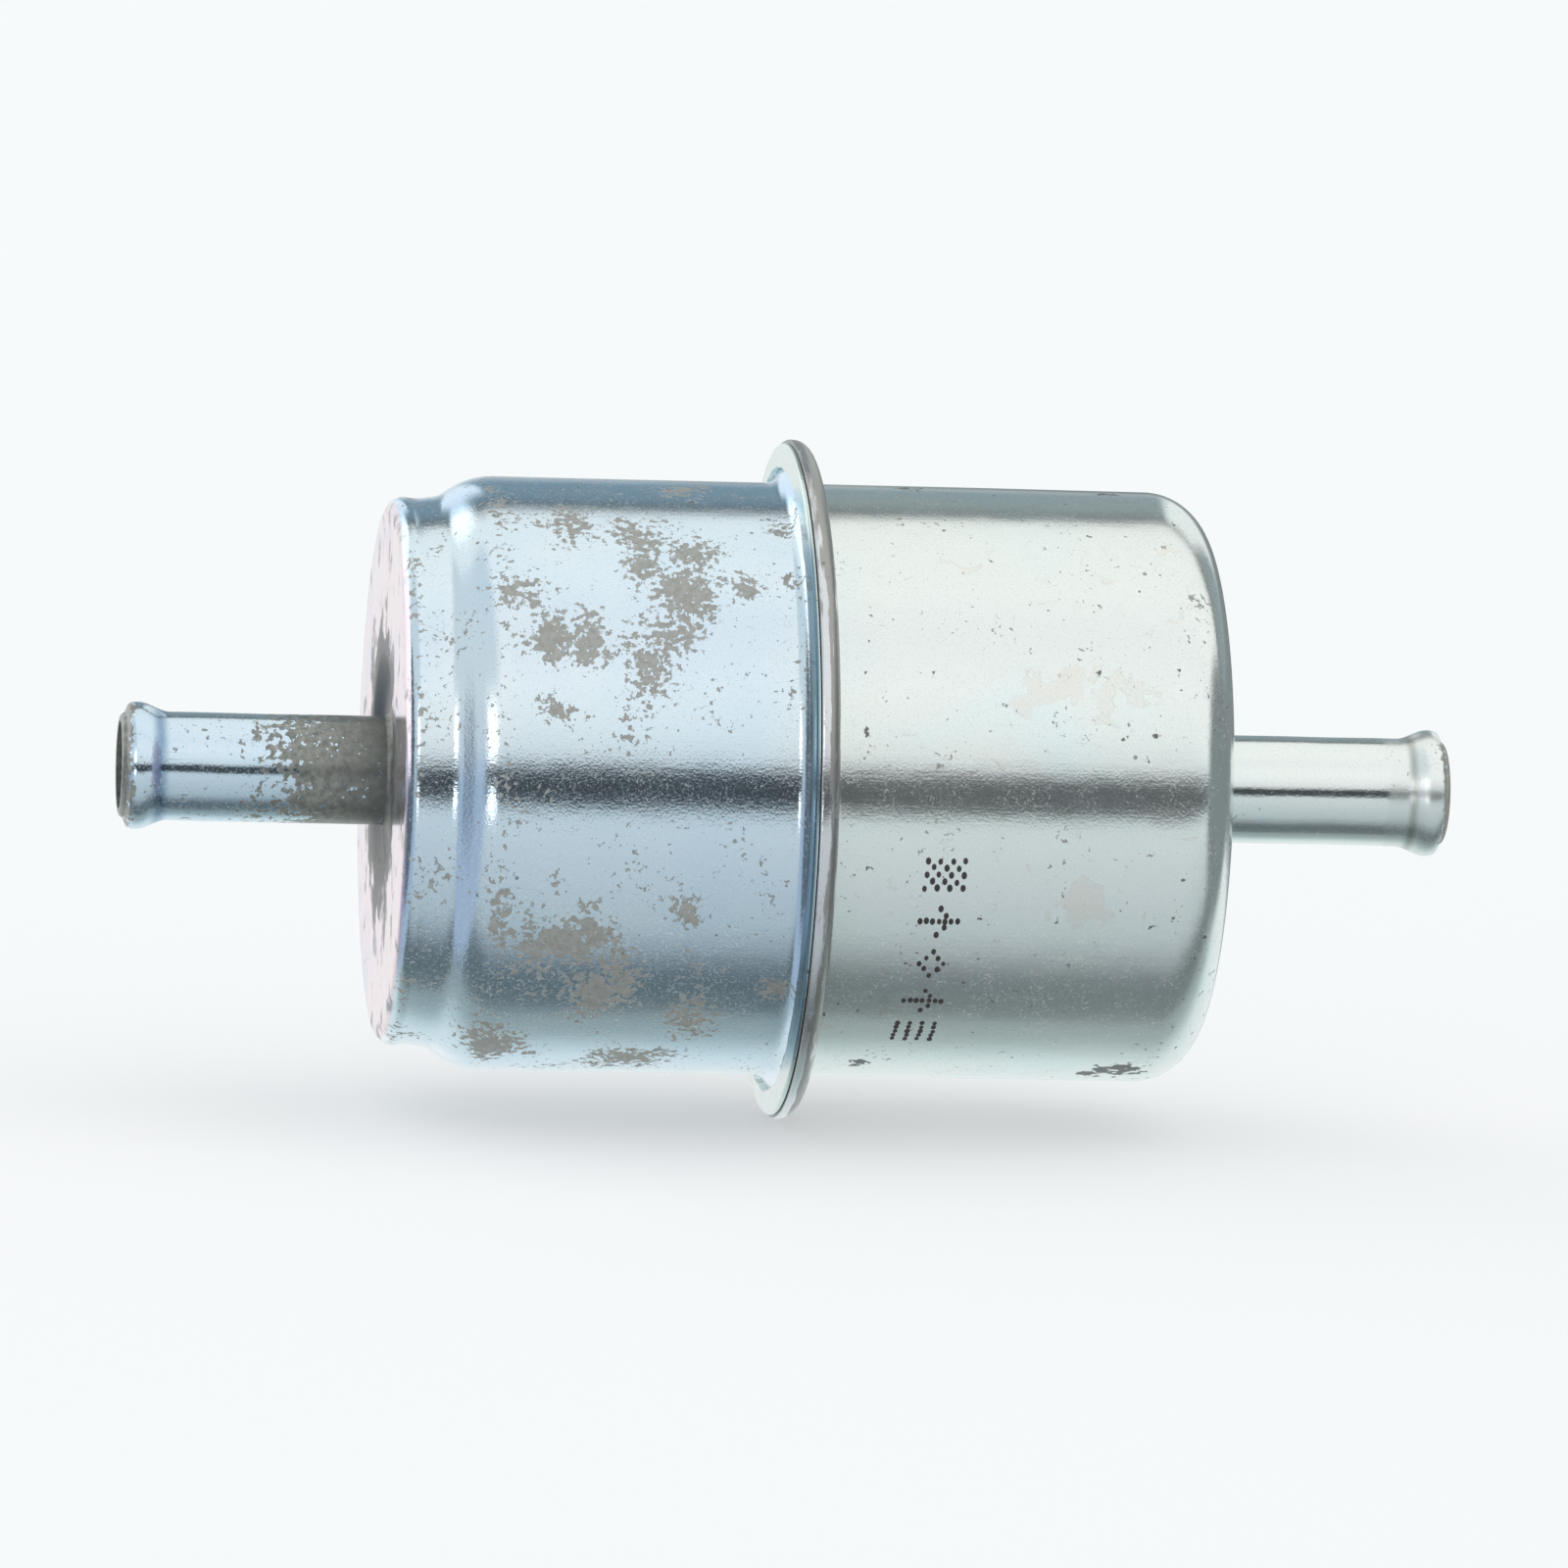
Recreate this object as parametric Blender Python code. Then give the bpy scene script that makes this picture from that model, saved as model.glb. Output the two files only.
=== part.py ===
"""In-line fuel filter: two drawn steel cans joined by a folded seam, a beaded hose tube at each
end, and a spring-loaded pleated paper element inside.

The axis of the filter is X. The inlet is at -X and the outlet at +X. The origin is halfway
between the two tube tips, on the axis. Everything is in metres.
"""
import math

import bmesh
import bpy
from mathutils import Vector

MM = 0.001

# Outside, along the axis
INLET_TUBE_OUT = 19.2 * MM       # inlet tube, from its tip to the face of the inlet can
INLET_CAN_LENGTH = 30.3 * MM     # face of the inlet can to the seam's reference plane
OUTLET_CAN_LENGTH = 29.9 * MM    # seam's reference plane to the face of the outlet can
OUTLET_TUBE_OUT = 18.5 * MM      # face of the outlet can to the tip of the outlet tube

# Cans
SHEET = 0.45 * MM                # thickness of the drawn sheet
CAN_RADIUS = 21.7 * MM
NECK_RADIUS = 20.05 * MM         # narrow band at the closed end of the inlet can
NECK_LENGTH = 3.4 * MM
STEP_LENGTH = 3.4 * MM           # ogee between the neck band and the full can
INLET_CORNER = 1.0 * MM
OUTLET_CORNER = 4.4 * MM
RECESS_RADIUS = 8.9 * MM         # sunk ring round the inlet tube
RECESS_DEPTH = 0.8 * MM
RECESS_WALL = 1.5 * MM           # width of the slope down into it

# Folded seam, measured from the seam's reference plane
SEAM_RADIUS = 24.95 * MM
SEAM_RIGHT = 0.40 * MM           # right face of the outlet can's flange
SEAM_CREASE_X = -1.05 * MM       # corner where the rim turns into the folded lip
SEAM_CREASE_RADIUS = 24.65 * MM
LIP_EDGE_X = -1.60 * MM          # free edge of the folded lip
LIP_EDGE_RADIUS = 22.9 * MM
OUTLET_FILLET = 0.5 * MM
INLET_FILLET = 1.2 * MM
INLET_FLANGE_X = -0.55 * MM      # left face of the inlet can's flange
INLET_FLANGE_RADIUS = 23.95 * MM
SEAL_RADII = (24.0 * MM, 24.25 * MM)
SEAL_SPAN = (-0.50 * MM, -0.15 * MM)

# Hose tubes
TUBE_RADIUS = 3.97 * MM
BORE_RADIUS = 3.22 * MM
BEAD_RADIUS = 4.65 * MM
BEAD_PEAK = 1.25 * MM            # tip to the widest point of the bead
BEAD_END = 3.6 * MM              # tip to where the bead has blended into the tube
TIP_ROUND = 0.3 * MM
INLET_STUB = 2.2 * MM            # length of tube inside the can
OUTLET_STUB = 5.2 * MM
BRAZE_WIDTH = 1.1 * MM
BRAZE_HEIGHT = 0.7 * MM

# Filter element
CLEARANCE = 0.1 * MM             # between neighbouring pieces
GASKET_THICKNESS = 1.8 * MM
GASKET_RADII = (4.3 * MM, 9.0 * MM)
CAP_SHEET = 0.5 * MM
CAP_RADIUS = 18.6 * MM
CAP_RIM = 3.4 * MM
CAP_OPENING = 5.2 * MM
CAP_BOSS_RADIUS = 5.6 * MM       # raised boss of the closed cap, which centres the spring
CAP_BOSS_HEIGHT = 1.4 * MM
POTTING = 1.2 * MM
POTTING_OPENING = 7.2 * MM
MEDIA_LENGTH = 40.0 * MM
MEDIA_RADII = (8.7 * MM, 17.4 * MM)
PAPER = 0.5 * MM
PLEATS = 36
FOLD_OUTSIDE = 0.6 * MM          # half width of a fold over its outer skin
FOLD_INSIDE = 0.12 * MM          # half width of a fold inside it
CLIP_SHEET = 0.3 * MM
CLIP_DEPTH = 2.2 * MM
CORE_RADIUS = 8.1 * MM
CORE_SHEET = 0.5 * MM
CORE_COLUMNS = 16
CORE_ROWS = 17
SPRING_RADIUS = 7.2 * MM
SPRING_WIRE = 1.2 * MM
SPRING_TURNS = 5.5

ROUND = 36                       # sides of the big turned pieces
SMALL_ROUND = 24                 # sides of the small turned pieces
SPRING_SIDES_PER_TURN = 18

LENGTH = INLET_TUBE_OUT + INLET_CAN_LENGTH + OUTLET_CAN_LENGTH + OUTLET_TUBE_OUT
INLET_TIP = -LENGTH / 2
OUTLET_TIP = LENGTH / 2
INLET_FACE = INLET_TIP + INLET_TUBE_OUT
SEAM = INLET_FACE + INLET_CAN_LENGTH
OUTLET_FACE = SEAM + OUTLET_CAN_LENGTH
TUBE_HOLE = TUBE_RADIUS + CLEARANCE

INLET_INSIDE = INLET_FACE + RECESS_DEPTH + SHEET
OUTLET_INSIDE = OUTLET_FACE - SHEET
OUTLET_CAP_FACE = OUTLET_INSIDE - 2 * CLEARANCE - GASKET_THICKNESS
MEDIA_END = OUTLET_CAP_FACE - CAP_SHEET - 2 * CLEARANCE - POTTING
MEDIA_START = MEDIA_END - MEDIA_LENGTH
INLET_CAP_FACE = MEDIA_START - POTTING - 2 * CLEARANCE - CAP_SHEET


def clear_scene():
    for old in list(bpy.data.objects):
        bpy.data.objects.remove(old, do_unlink=True)


def material(name, colour, roughness, metallic):
    """A Principled material, made once and shared by every piece that names it."""
    if name in bpy.data.materials:
        return bpy.data.materials[name]
    made = bpy.data.materials.new(name)
    made.use_nodes = True
    shader = made.node_tree.nodes["Principled BSDF"]
    shader.inputs["Base Color"].default_value = (*colour, 1.0)
    shader.inputs["Roughness"].default_value = roughness
    shader.inputs["Metallic"].default_value = metallic
    made.diffuse_color = (*colour, 1.0)
    return made


def blue_zinc():
    return material("blue_zinc", (0.62, 0.68, 0.72), 0.30, 1.0)


def pale_zinc():
    return material("pale_zinc", (0.68, 0.70, 0.69), 0.30, 1.0)


def tinplate():
    return material("tinplate", (0.60, 0.60, 0.58), 0.38, 1.0)


def arc(centre, radius, start, end, steps):
    """Points (x, r) on an arc, from one angle to the other in degrees. 0 points along +X."""
    points = []
    for i in range(steps + 1):
        angle = math.radians(start + (end - start) * i / steps)
        points.append((centre[0] + radius * math.cos(angle), centre[1] + radius * math.sin(angle)))
    return points


def sheet(path, thickness):
    """Closed outline of a sheet that has the path as one face, with the other to its right."""
    normals = []
    for (x0, r0), (x1, r1) in zip(path, path[1:]):
        length = math.hypot(x1 - x0, r1 - r0)
        normals.append(Vector(((r1 - r0) / length, -(x1 - x0) / length)))
    joints = [normals[0]]
    for before, after in zip(normals, normals[1:]):
        joints.append((before + after) / (1 + before.dot(after)))
    joints.append(normals[-1])
    other = [(x + n.x * thickness, r + n.y * thickness) for (x, r), n in zip(path, joints)]
    return path + other[::-1]


def rectangle(x_span, r_span):
    return [(x_span[0], r_span[0]), (x_span[1], r_span[0]), (x_span[1], r_span[1]), (x_span[0], r_span[1])]


def finish(name, bm, look, sharp_degrees=35):
    """Turn a bmesh into a named object with its faces pointing out, shaded smooth."""
    bmesh.ops.recalc_face_normals(bm, faces=bm.faces)
    mesh = bpy.data.meshes.new(name)
    bm.to_mesh(mesh)
    bm.free()
    mesh.shade_smooth()
    mesh.set_sharp_from_angle(angle=math.radians(sharp_degrees))
    mesh.materials.append(look)
    made = bpy.data.objects.new(name, mesh)
    bpy.context.scene.collection.objects.link(made)
    return made


def turned(name, outline, look, segments=ROUND):
    """Turn a closed outline of (x, r) points about the X axis."""
    bm = bmesh.new()
    corners = [bm.verts.new((x, 0.0, r)) for x, r in outline]
    edges = [bm.edges.new((a, b)) for a, b in zip(corners, corners[1:] + corners[:1])]
    bmesh.ops.spin(bm, geom=corners + edges, cent=(0, 0, 0), axis=(1, 0, 0), angle=math.tau, steps=segments)
    bmesh.ops.remove_doubles(bm, verts=bm.verts, dist=1e-7)
    return finish(name, bm, look)


def turned_disc(name, outline, look):
    """As turned, for an outline whose first and last points lie on the axis."""
    bm = bmesh.new()
    corners = [bm.verts.new((x, 0.0, r)) for x, r in outline]
    edges = [bm.edges.new((a, b)) for a, b in zip(corners, corners[1:])]
    bmesh.ops.spin(bm, geom=corners + edges, cent=(0, 0, 0), axis=(1, 0, 0), angle=math.tau, steps=ROUND)
    bmesh.ops.remove_doubles(bm, verts=bm.verts, dist=1e-7)
    return finish(name, bm, look)


def ogee(t):
    """S curve from 0 to 1, level at both ends."""
    return (1 - math.cos(math.pi * t)) / 2


def inlet_shell():
    """From the hole round the tube, out over the sunk ring, the neck and the step, to the flange."""
    path = [(INLET_FACE + RECESS_DEPTH, TUBE_HOLE)]
    for i in range(5):
        t = i / 4
        path.append((INLET_FACE + RECESS_DEPTH * (1 - ogee(t)), RECESS_RADIUS - RECESS_WALL * (1 - t)))
    path += arc((INLET_FACE + INLET_CORNER, NECK_RADIUS - INLET_CORNER), INLET_CORNER, 180, 90, 3)
    step_start = INLET_FACE + NECK_LENGTH
    for i in range(6):
        t = i / 5
        path.append((step_start + STEP_LENGTH * t, NECK_RADIUS + (CAN_RADIUS - NECK_RADIUS) * ogee(t)))
    centre = (SEAM + INLET_FLANGE_X - INLET_FILLET, CAN_RADIUS + INLET_FILLET)
    path += arc(centre, INLET_FILLET, 270, 360, 3)
    path.append((SEAM + INLET_FLANGE_X, INLET_FLANGE_RADIUS))
    return turned("inlet_shell", sheet(path, SHEET), blue_zinc())


def outlet_shell():
    """From the folded lip's edge, over the rim and down to the can, to the hole round the tube."""
    path = [(SEAM + LIP_EDGE_X, LIP_EDGE_RADIUS), (SEAM + SEAM_CREASE_X, SEAM_CREASE_RADIUS)]
    path += arc((SEAM + SEAM_RIGHT - OUTLET_FILLET, SEAM_RADIUS - OUTLET_FILLET), OUTLET_FILLET, 76, 0, 3)
    path += arc((SEAM + SEAM_RIGHT + OUTLET_FILLET, CAN_RADIUS + OUTLET_FILLET), OUTLET_FILLET, 180, 270, 3)
    corner = (OUTLET_FACE - OUTLET_CORNER, CAN_RADIUS - OUTLET_CORNER)
    path += arc(corner, OUTLET_CORNER, 90, 0, 5)
    path.append((OUTLET_FACE, TUBE_HOLE))
    return turned("outlet_shell", sheet(path, SHEET), pale_zinc())


def seam_seal():
    span = (SEAM + SEAL_SPAN[0], SEAM + SEAL_SPAN[1])
    look = material("sealing_compound", (0.05, 0.05, 0.06), 0.8, 0.0)
    return turned("seam_seal", rectangle(span, SEAL_RADII), look)


def hose_tube(name, tip, inner_end, look):
    """A tube with a bead behind its tip. It runs from the tip to the end inside the can."""
    way = 1 if inner_end > tip else -1
    outline = [(inner_end, BORE_RADIUS), (tip, BORE_RADIUS)]
    lip = TUBE_RADIUS - 0.1 * MM
    for x, r in arc((TIP_ROUND, lip - TIP_ROUND), TIP_ROUND, 180, 110, 2):
        outline.append((tip + way * x, r))
    for i in range(9):
        t = i / 8
        x = BEAD_PEAK * 0.5 + (BEAD_END - BEAD_PEAK * 0.5) * t
        outline.append((tip + way * x, bead_radius(x)))
    outline.append((inner_end, TUBE_RADIUS))
    return turned(name, outline, look, SMALL_ROUND)


def bead_radius(x):
    """Outside radius of the bead, x from the tip. It rises fast and falls away slowly."""
    if x < BEAD_PEAK:
        t = 1 - x / BEAD_PEAK
        return BEAD_RADIUS - (BEAD_RADIUS - TUBE_RADIUS) * t * t
    t = min(1.0, (x - BEAD_PEAK) / (BEAD_END - BEAD_PEAK))
    return BEAD_RADIUS - (BEAD_RADIUS - TUBE_RADIUS) * ogee(t)


def braze_ring(name, wall, way):
    """A fillet of braze metal between a tube and the wall that it goes through."""
    inner = TUBE_RADIUS + CLEARANCE
    start = wall + way * CLEARANCE
    outline = [(start, inner), (start + way * BRAZE_HEIGHT, inner)]
    middle = (start + way * BRAZE_HEIGHT * 0.35, inner + BRAZE_WIDTH * 0.35)
    outline += [middle, (start, inner + BRAZE_WIDTH)]
    return turned(name, outline, material("braze", (0.42, 0.42, 0.40), 0.5, 1.0), SMALL_ROUND)


def filter_media():
    """Pleated paper: a closed zigzag ring, extruded along the axis."""
    inside, outside = MEDIA_RADII
    outer_loop = []
    inner_loop = []
    for k in range(PLEATS):
        crest = math.tau * k / PLEATS
        valley = math.tau * (k + 0.5) / PLEATS
        for side in (-1, 1):
            outer_loop.append((outside, crest + side * FOLD_OUTSIDE / outside))
            inner_loop.append((outside - PAPER, crest + side * FOLD_INSIDE / outside))
        for side in (-1, 1):
            outer_loop.append((inside + PAPER, valley + side * FOLD_INSIDE / inside))
            inner_loop.append((inside, valley + side * FOLD_OUTSIDE / inside))
    bm = bmesh.new()
    rings = []
    for loop in (outer_loop, inner_loop):
        for x in (MEDIA_START, MEDIA_END):
            rings.append([bm.verts.new((x, r * math.sin(a), r * math.cos(a))) for r, a in loop])
    outer_start, outer_end, inner_start, inner_end = rings
    walk = (outer_start, outer_end, inner_end, inner_start, outer_start)
    for a, b in zip(walk, walk[1:]):
        for i in range(len(a)):
            j = (i + 1) % len(a)
            bm.faces.new((a[i], a[j], b[j], b[i]))
    return finish("filter_media", bm, material("paper", (0.62, 0.45, 0.20), 0.9, 0.0), 20)


def media_clip():
    """U channel pushed over the pleat at the top, where the two ends of the paper meet."""
    top = MEDIA_RADII[1] + CLEARANCE
    inner = FOLD_OUTSIDE + 1.5 * CLEARANCE
    outer = inner + CLIP_SHEET
    foot = top + CLIP_SHEET - CLIP_DEPTH
    section = [(-outer, foot), (-outer, top + CLIP_SHEET), (outer, top + CLIP_SHEET), (outer, foot)]
    section += [(inner, foot), (inner, top), (-inner, top), (-inner, foot)]
    bm = bmesh.new()
    start = MEDIA_START + CLEARANCE
    face = bm.faces.new([bm.verts.new((start, y, z)) for y, z in section])
    grown = bmesh.ops.extrude_face_region(bm, geom=[face])["geom"]
    moved = [g for g in grown if isinstance(g, bmesh.types.BMVert)]
    bmesh.ops.translate(bm, verts=moved, vec=(MEDIA_LENGTH - 2 * CLEARANCE, 0, 0))
    return finish("media_clip", bm, tinplate())


def core_tube():
    """Tube with staggered square windows, made cell by cell."""
    bm = bmesh.new()
    skins = []
    for radius in (CORE_RADIUS, CORE_RADIUS - CORE_SHEET):
        skin = []
        for row in range(CORE_ROWS + 1):
            x = MEDIA_START + MEDIA_LENGTH * row / CORE_ROWS
            turns = [math.tau * column / CORE_COLUMNS for column in range(CORE_COLUMNS)]
            skin.append([bm.verts.new((x, radius * math.sin(a), radius * math.cos(a))) for a in turns])
        skins.append(skin)
    outer, inner = skins

    def is_window(row, column):
        return 0 < row < CORE_ROWS - 1 and row % 2 == 1 and (column + row // 2) % 2 == 0

    def cell(skin, row, column):
        after = (column + 1) % CORE_COLUMNS
        return skin[row][column], skin[row][after], skin[row + 1][after], skin[row + 1][column]

    for row in range(CORE_ROWS):
        for column in range(CORE_COLUMNS):
            a = cell(outer, row, column)
            b = cell(inner, row, column)
            if is_window(row, column):
                for i in range(4):
                    j = (i + 1) % 4
                    bm.faces.new((a[i], a[j], b[j], b[i]))
            else:
                bm.faces.new(a)
                bm.faces.new(b[::-1])
    for row in (0, CORE_ROWS):
        for column in range(CORE_COLUMNS):
            after = (column + 1) % CORE_COLUMNS
            bm.faces.new((outer[row][column], outer[row][after], inner[row][after], inner[row][column]))
    return finish("core_tube", bm, tinplate())


def outlet_cap():
    """Open pan: a flat washer with a rim that turns back over the pleats."""
    bend = 2 * CAP_SHEET
    path = [(OUTLET_CAP_FACE - CAP_RIM, CAP_RADIUS)]
    path += arc((OUTLET_CAP_FACE - bend, CAP_RADIUS - bend), bend, 90, 0, 3)
    path.append((OUTLET_CAP_FACE, CAP_OPENING))
    return turned("outlet_cap", sheet(path, CAP_SHEET), tinplate())


def inlet_cap():
    """Closed pan with a round boss in its middle that centres the spring."""
    bend = 2 * CAP_SHEET
    face = INLET_CAP_FACE
    boss = face - CAP_BOSS_HEIGHT
    outer = [(boss, 0.0), (boss, CAP_BOSS_RADIUS - bend), (face, CAP_BOSS_RADIUS)]
    outer += arc((face + bend, CAP_RADIUS - bend), bend, 180, 90, 3)
    outer.append((face + CAP_RIM, CAP_RADIUS))
    inner = [(face + CAP_RIM, CAP_RADIUS - CAP_SHEET), (face + bend, CAP_RADIUS - CAP_SHEET)]
    inner += [(face + CAP_SHEET, CAP_RADIUS - bend), (face + CAP_SHEET, CAP_BOSS_RADIUS - CAP_SHEET)]
    inner += [(boss + CAP_SHEET, CAP_BOSS_RADIUS - bend - CAP_SHEET / 2), (boss + CAP_SHEET, 0.0)]
    return turned_disc("inlet_cap", outer + inner, tinplate())


def potting_look():
    return material("potting", (0.55, 0.16, 0.06), 0.6, 0.0)


def outlet_potting():
    start = MEDIA_END + CLEARANCE
    outer = CAP_RADIUS - CAP_SHEET - 2 * CLEARANCE
    outline = rectangle((start, start + POTTING), (POTTING_OPENING, outer))
    outline[2:3] = [(start + POTTING, outer - CAP_SHEET), (start + POTTING - CAP_SHEET, outer)]
    return turned("outlet_potting", outline, potting_look())


def inlet_potting():
    end = MEDIA_START - CLEARANCE
    start = end - POTTING
    outer = CAP_RADIUS - CAP_SHEET - 2 * CLEARANCE
    outline = [(end, 0.0), (end, outer), (start + CAP_SHEET, outer), (start, outer - CAP_SHEET), (start, 0.0)]
    return turned_disc("inlet_potting", outline, potting_look())


def outlet_gasket():
    end = OUTLET_INSIDE - CLEARANCE
    outline = rectangle((end - GASKET_THICKNESS, end), GASKET_RADII)
    look = material("gasket_rubber", (0.02, 0.02, 0.02), 0.7, 0.0)
    return turned("outlet_gasket", outline, look, SMALL_ROUND)


def preload_spring():
    """Compression spring between the inlet can's end and the closed cap. Its end turns are closed."""
    wire = SPRING_WIRE / 2
    start = INLET_INSIDE + CLEARANCE + wire
    end = INLET_CAP_FACE - CLEARANCE - wire
    closed = SPRING_WIRE + 0.05 * MM
    working = SPRING_TURNS - 2
    pitch = (end - start - 2 * closed) / working
    curve = bpy.data.curves.new("preload_spring", "CURVE")
    curve.dimensions = "3D"
    curve.bevel_depth = wire
    curve.bevel_resolution = 1
    curve.use_fill_caps = True
    count = round(SPRING_TURNS * SPRING_SIDES_PER_TURN) + 1
    spline = curve.splines.new("POLY")
    spline.points.add(count - 1)
    for i in range(count):
        turn = SPRING_TURNS * i / (count - 1)
        x = start + closed * min(turn, 1)
        x += pitch * max(0, min(turn - 1, working))
        x += closed * max(0, turn - 1 - working)
        angle = math.tau * turn
        spline.points[i].co = (x, SPRING_RADIUS * math.sin(angle), SPRING_RADIUS * math.cos(angle), 1)
    curve.materials.append(material("spring_steel", (0.35, 0.35, 0.36), 0.35, 1.0))
    made = bpy.data.objects.new("preload_spring", curve)
    bpy.context.scene.collection.objects.link(made)
    return made


def empty(name):
    made = bpy.data.objects.new(name, None)
    bpy.context.scene.collection.objects.link(made)
    return made


def build():
    clear_scene()
    housing = empty("housing")
    element = empty("element")
    fixed = [inlet_shell(), outlet_shell(), seam_seal()]
    fixed.append(hose_tube("inlet_tube", INLET_TIP, INLET_INSIDE + INLET_STUB, blue_zinc()))
    fixed.append(hose_tube("outlet_tube", OUTLET_TIP, OUTLET_INSIDE - OUTLET_STUB, pale_zinc()))
    fixed.append(braze_ring("inlet_braze", INLET_FACE + RECESS_DEPTH, -1))
    fixed.append(braze_ring("outlet_braze", OUTLET_FACE, 1))
    fixed += [outlet_gasket(), preload_spring()]
    moving = [filter_media(), media_clip(), core_tube(), inlet_cap(), outlet_cap()]
    moving += [inlet_potting(), outlet_potting()]
    for piece in fixed:
        piece.parent = housing
    for piece in moving:
        piece.parent = element


build()
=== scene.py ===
"""Looks for the in-line fuel filter: finely turned cans, seam and hose tubes round the fixed frame,
worn zinc plating, studio light and the camera. The filter's axis is X, with the inlet at -X."""

import math

import bmesh
import bpy
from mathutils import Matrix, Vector, noise


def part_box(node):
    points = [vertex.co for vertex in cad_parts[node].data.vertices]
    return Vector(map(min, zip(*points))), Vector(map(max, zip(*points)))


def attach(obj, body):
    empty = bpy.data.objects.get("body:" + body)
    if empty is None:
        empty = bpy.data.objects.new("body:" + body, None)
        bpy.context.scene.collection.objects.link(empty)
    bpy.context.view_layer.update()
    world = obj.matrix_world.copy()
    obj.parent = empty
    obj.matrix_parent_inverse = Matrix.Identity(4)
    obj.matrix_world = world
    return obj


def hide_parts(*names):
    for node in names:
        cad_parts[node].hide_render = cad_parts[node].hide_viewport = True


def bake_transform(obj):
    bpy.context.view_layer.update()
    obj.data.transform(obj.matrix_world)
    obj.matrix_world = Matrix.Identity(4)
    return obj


MM = 0.001

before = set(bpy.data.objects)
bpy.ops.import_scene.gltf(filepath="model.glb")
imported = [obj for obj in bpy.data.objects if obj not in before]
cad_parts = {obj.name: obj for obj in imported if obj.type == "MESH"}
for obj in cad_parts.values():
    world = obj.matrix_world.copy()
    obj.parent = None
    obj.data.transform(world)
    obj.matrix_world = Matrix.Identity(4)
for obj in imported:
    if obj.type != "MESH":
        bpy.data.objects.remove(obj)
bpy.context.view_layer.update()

# Places along the axis, from the frame
INLET_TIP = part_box("inlet_tube")[0].x
INLET_STUB_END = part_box("inlet_tube")[1].x
OUTLET_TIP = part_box("outlet_tube")[1].x
OUTLET_STUB_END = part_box("outlet_tube")[0].x
INLET_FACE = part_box("inlet_shell")[0].x
OUTLET_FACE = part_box("outlet_shell")[1].x
FLANGE_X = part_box("inlet_shell")[1].x            # inner face of the inlet can's flange
SEAM_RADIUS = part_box("outlet_shell")[1].z

# Cans, as in the CAD
SHEET = 0.45 * MM
CAN_RADIUS = 21.7 * MM
NECK_RADIUS = 20.05 * MM
NECK_LENGTH = 2.85 * MM
STEP_SLOPE = 34.0                # steepest part of the step up from the neck, in degrees
STEP_HOLLOW = 2.2 * MM           # its radius beside the neck
STEP_SHOULDER = 5.2 * MM         # and beside the can
INLET_CORNER = 1.2 * MM
OUTLET_CORNER = 4.4 * MM
RECESS_RADIUS = 8.9 * MM
RECESS_DEPTH = 0.8 * MM
RECESS_WALL = 1.5 * MM
NECK_WAIST = 0.10 * MM           # how far the neck is drawn in at its middle
TUBE_GAP = 0.04 * MM             # between a tube and the hole in its can

# Folded seam, measured from its reference plane
SEAM = FLANGE_X + 0.10 * MM
LIP_EDGE_X = -1.60 * MM
LIP_EDGE_RADIUS = 22.9 * MM
LIP_SHOULDER_X = -1.19 * MM
LIP_SHOULDER_RADIUS = 24.66 * MM
LIP_SHOULDER_ROUND = 0.25 * MM
LIP_RAGGED_TO = 0.5 * MM         # how far from its edge the lip's uneven trim fades out
GROOVE_X = -1.08 * MM
GROOVE_RADIUS = 24.45 * MM
CROWN_X = -1.04 * MM             # the rolled rim starts beside the groove
CROWN_RADIUS = 24.91 * MM
CROWN_ARCS = (                   # (radius, slope at its start, slope at its end), in degrees
    (0.50 * MM, 32, 5),
    (1.3 * MM, 5, -12),
    (1.05 * MM, -12, -88),
)
CROWN_STEPS = 8                  # points along each of them
OUTLET_FILLET = 0.5 * MM
INLET_FILLET_X = -2.6 * MM
INLET_FILLET = 1.3 * MM
INLET_FILLET_TURN = 62.0         # in degrees
INLET_FLANGE_X = -0.55 * MM
INLET_FLANGE_RADIUS = 23.90 * MM

# Hose tubes
TUBE_RADIUS = 3.97 * MM
BORE_RADIUS = 3.22 * MM
BEAD_RADIUS = 4.65 * MM
BEAD_PEAK = 1.25 * MM
BEAD_END = 3.6 * MM
TIP_ROUND = 0.5 * MM
BORE_BELL = 0.2 * MM             # how far the bore swells under the bead
BRAZE_WIDTH = 1.1 * MM
BRAZE_HEIGHT = 0.7 * MM

# Spring
SPRING_RADIUS = 7.2 * MM
SPRING_WIRE = 1.2 * MM
SPRING_TURNS = 5.5
SPRING_CLOSED = 1.04             # rise of its closed end turns, in wire widths
SPRING_SIDES = 14
SPRING_STEPS = 48                # per turn

ROUND = 256                      # sides of the big turned pieces
SMALL_ROUND = 96
SHARP = 40.0                     # edges turning by more than this stay sharp, in degrees

# Camera: a long lens, nearly level, a little round towards the inlet end and rolled
CAMERA_ELEVATION = 6.0
AXIS_YAW = 7.2                   # angle between the filter's axis and the picture plane
AXIS_DROP = 1.24                 # how far the outlet end dips in the picture
DISTANCE = 863 * MM
LENS = 270.0
SENSOR = 36.0
AIM_RIGHT = -0.63 * MM           # picture centre, measured from the middle of the seam
AIM_UP = -0.34 * MM


# ---------------------------------------------------------------- turned shapes

def ogee(t):
    """S curve from 0 to 1, level at both ends."""
    return (1 - math.cos(math.pi * t)) / 2


def arc(centre, radius, start, end, steps):
    """Points (x, r) on an arc, from one angle to the other in degrees. 0 points along +X."""
    points = []
    for i in range(steps + 1):
        angle = math.radians(start + (end - start) * i / steps)
        points.append((centre[0] + radius * math.cos(angle), centre[1] + radius * math.sin(angle)))
    return points


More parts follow.
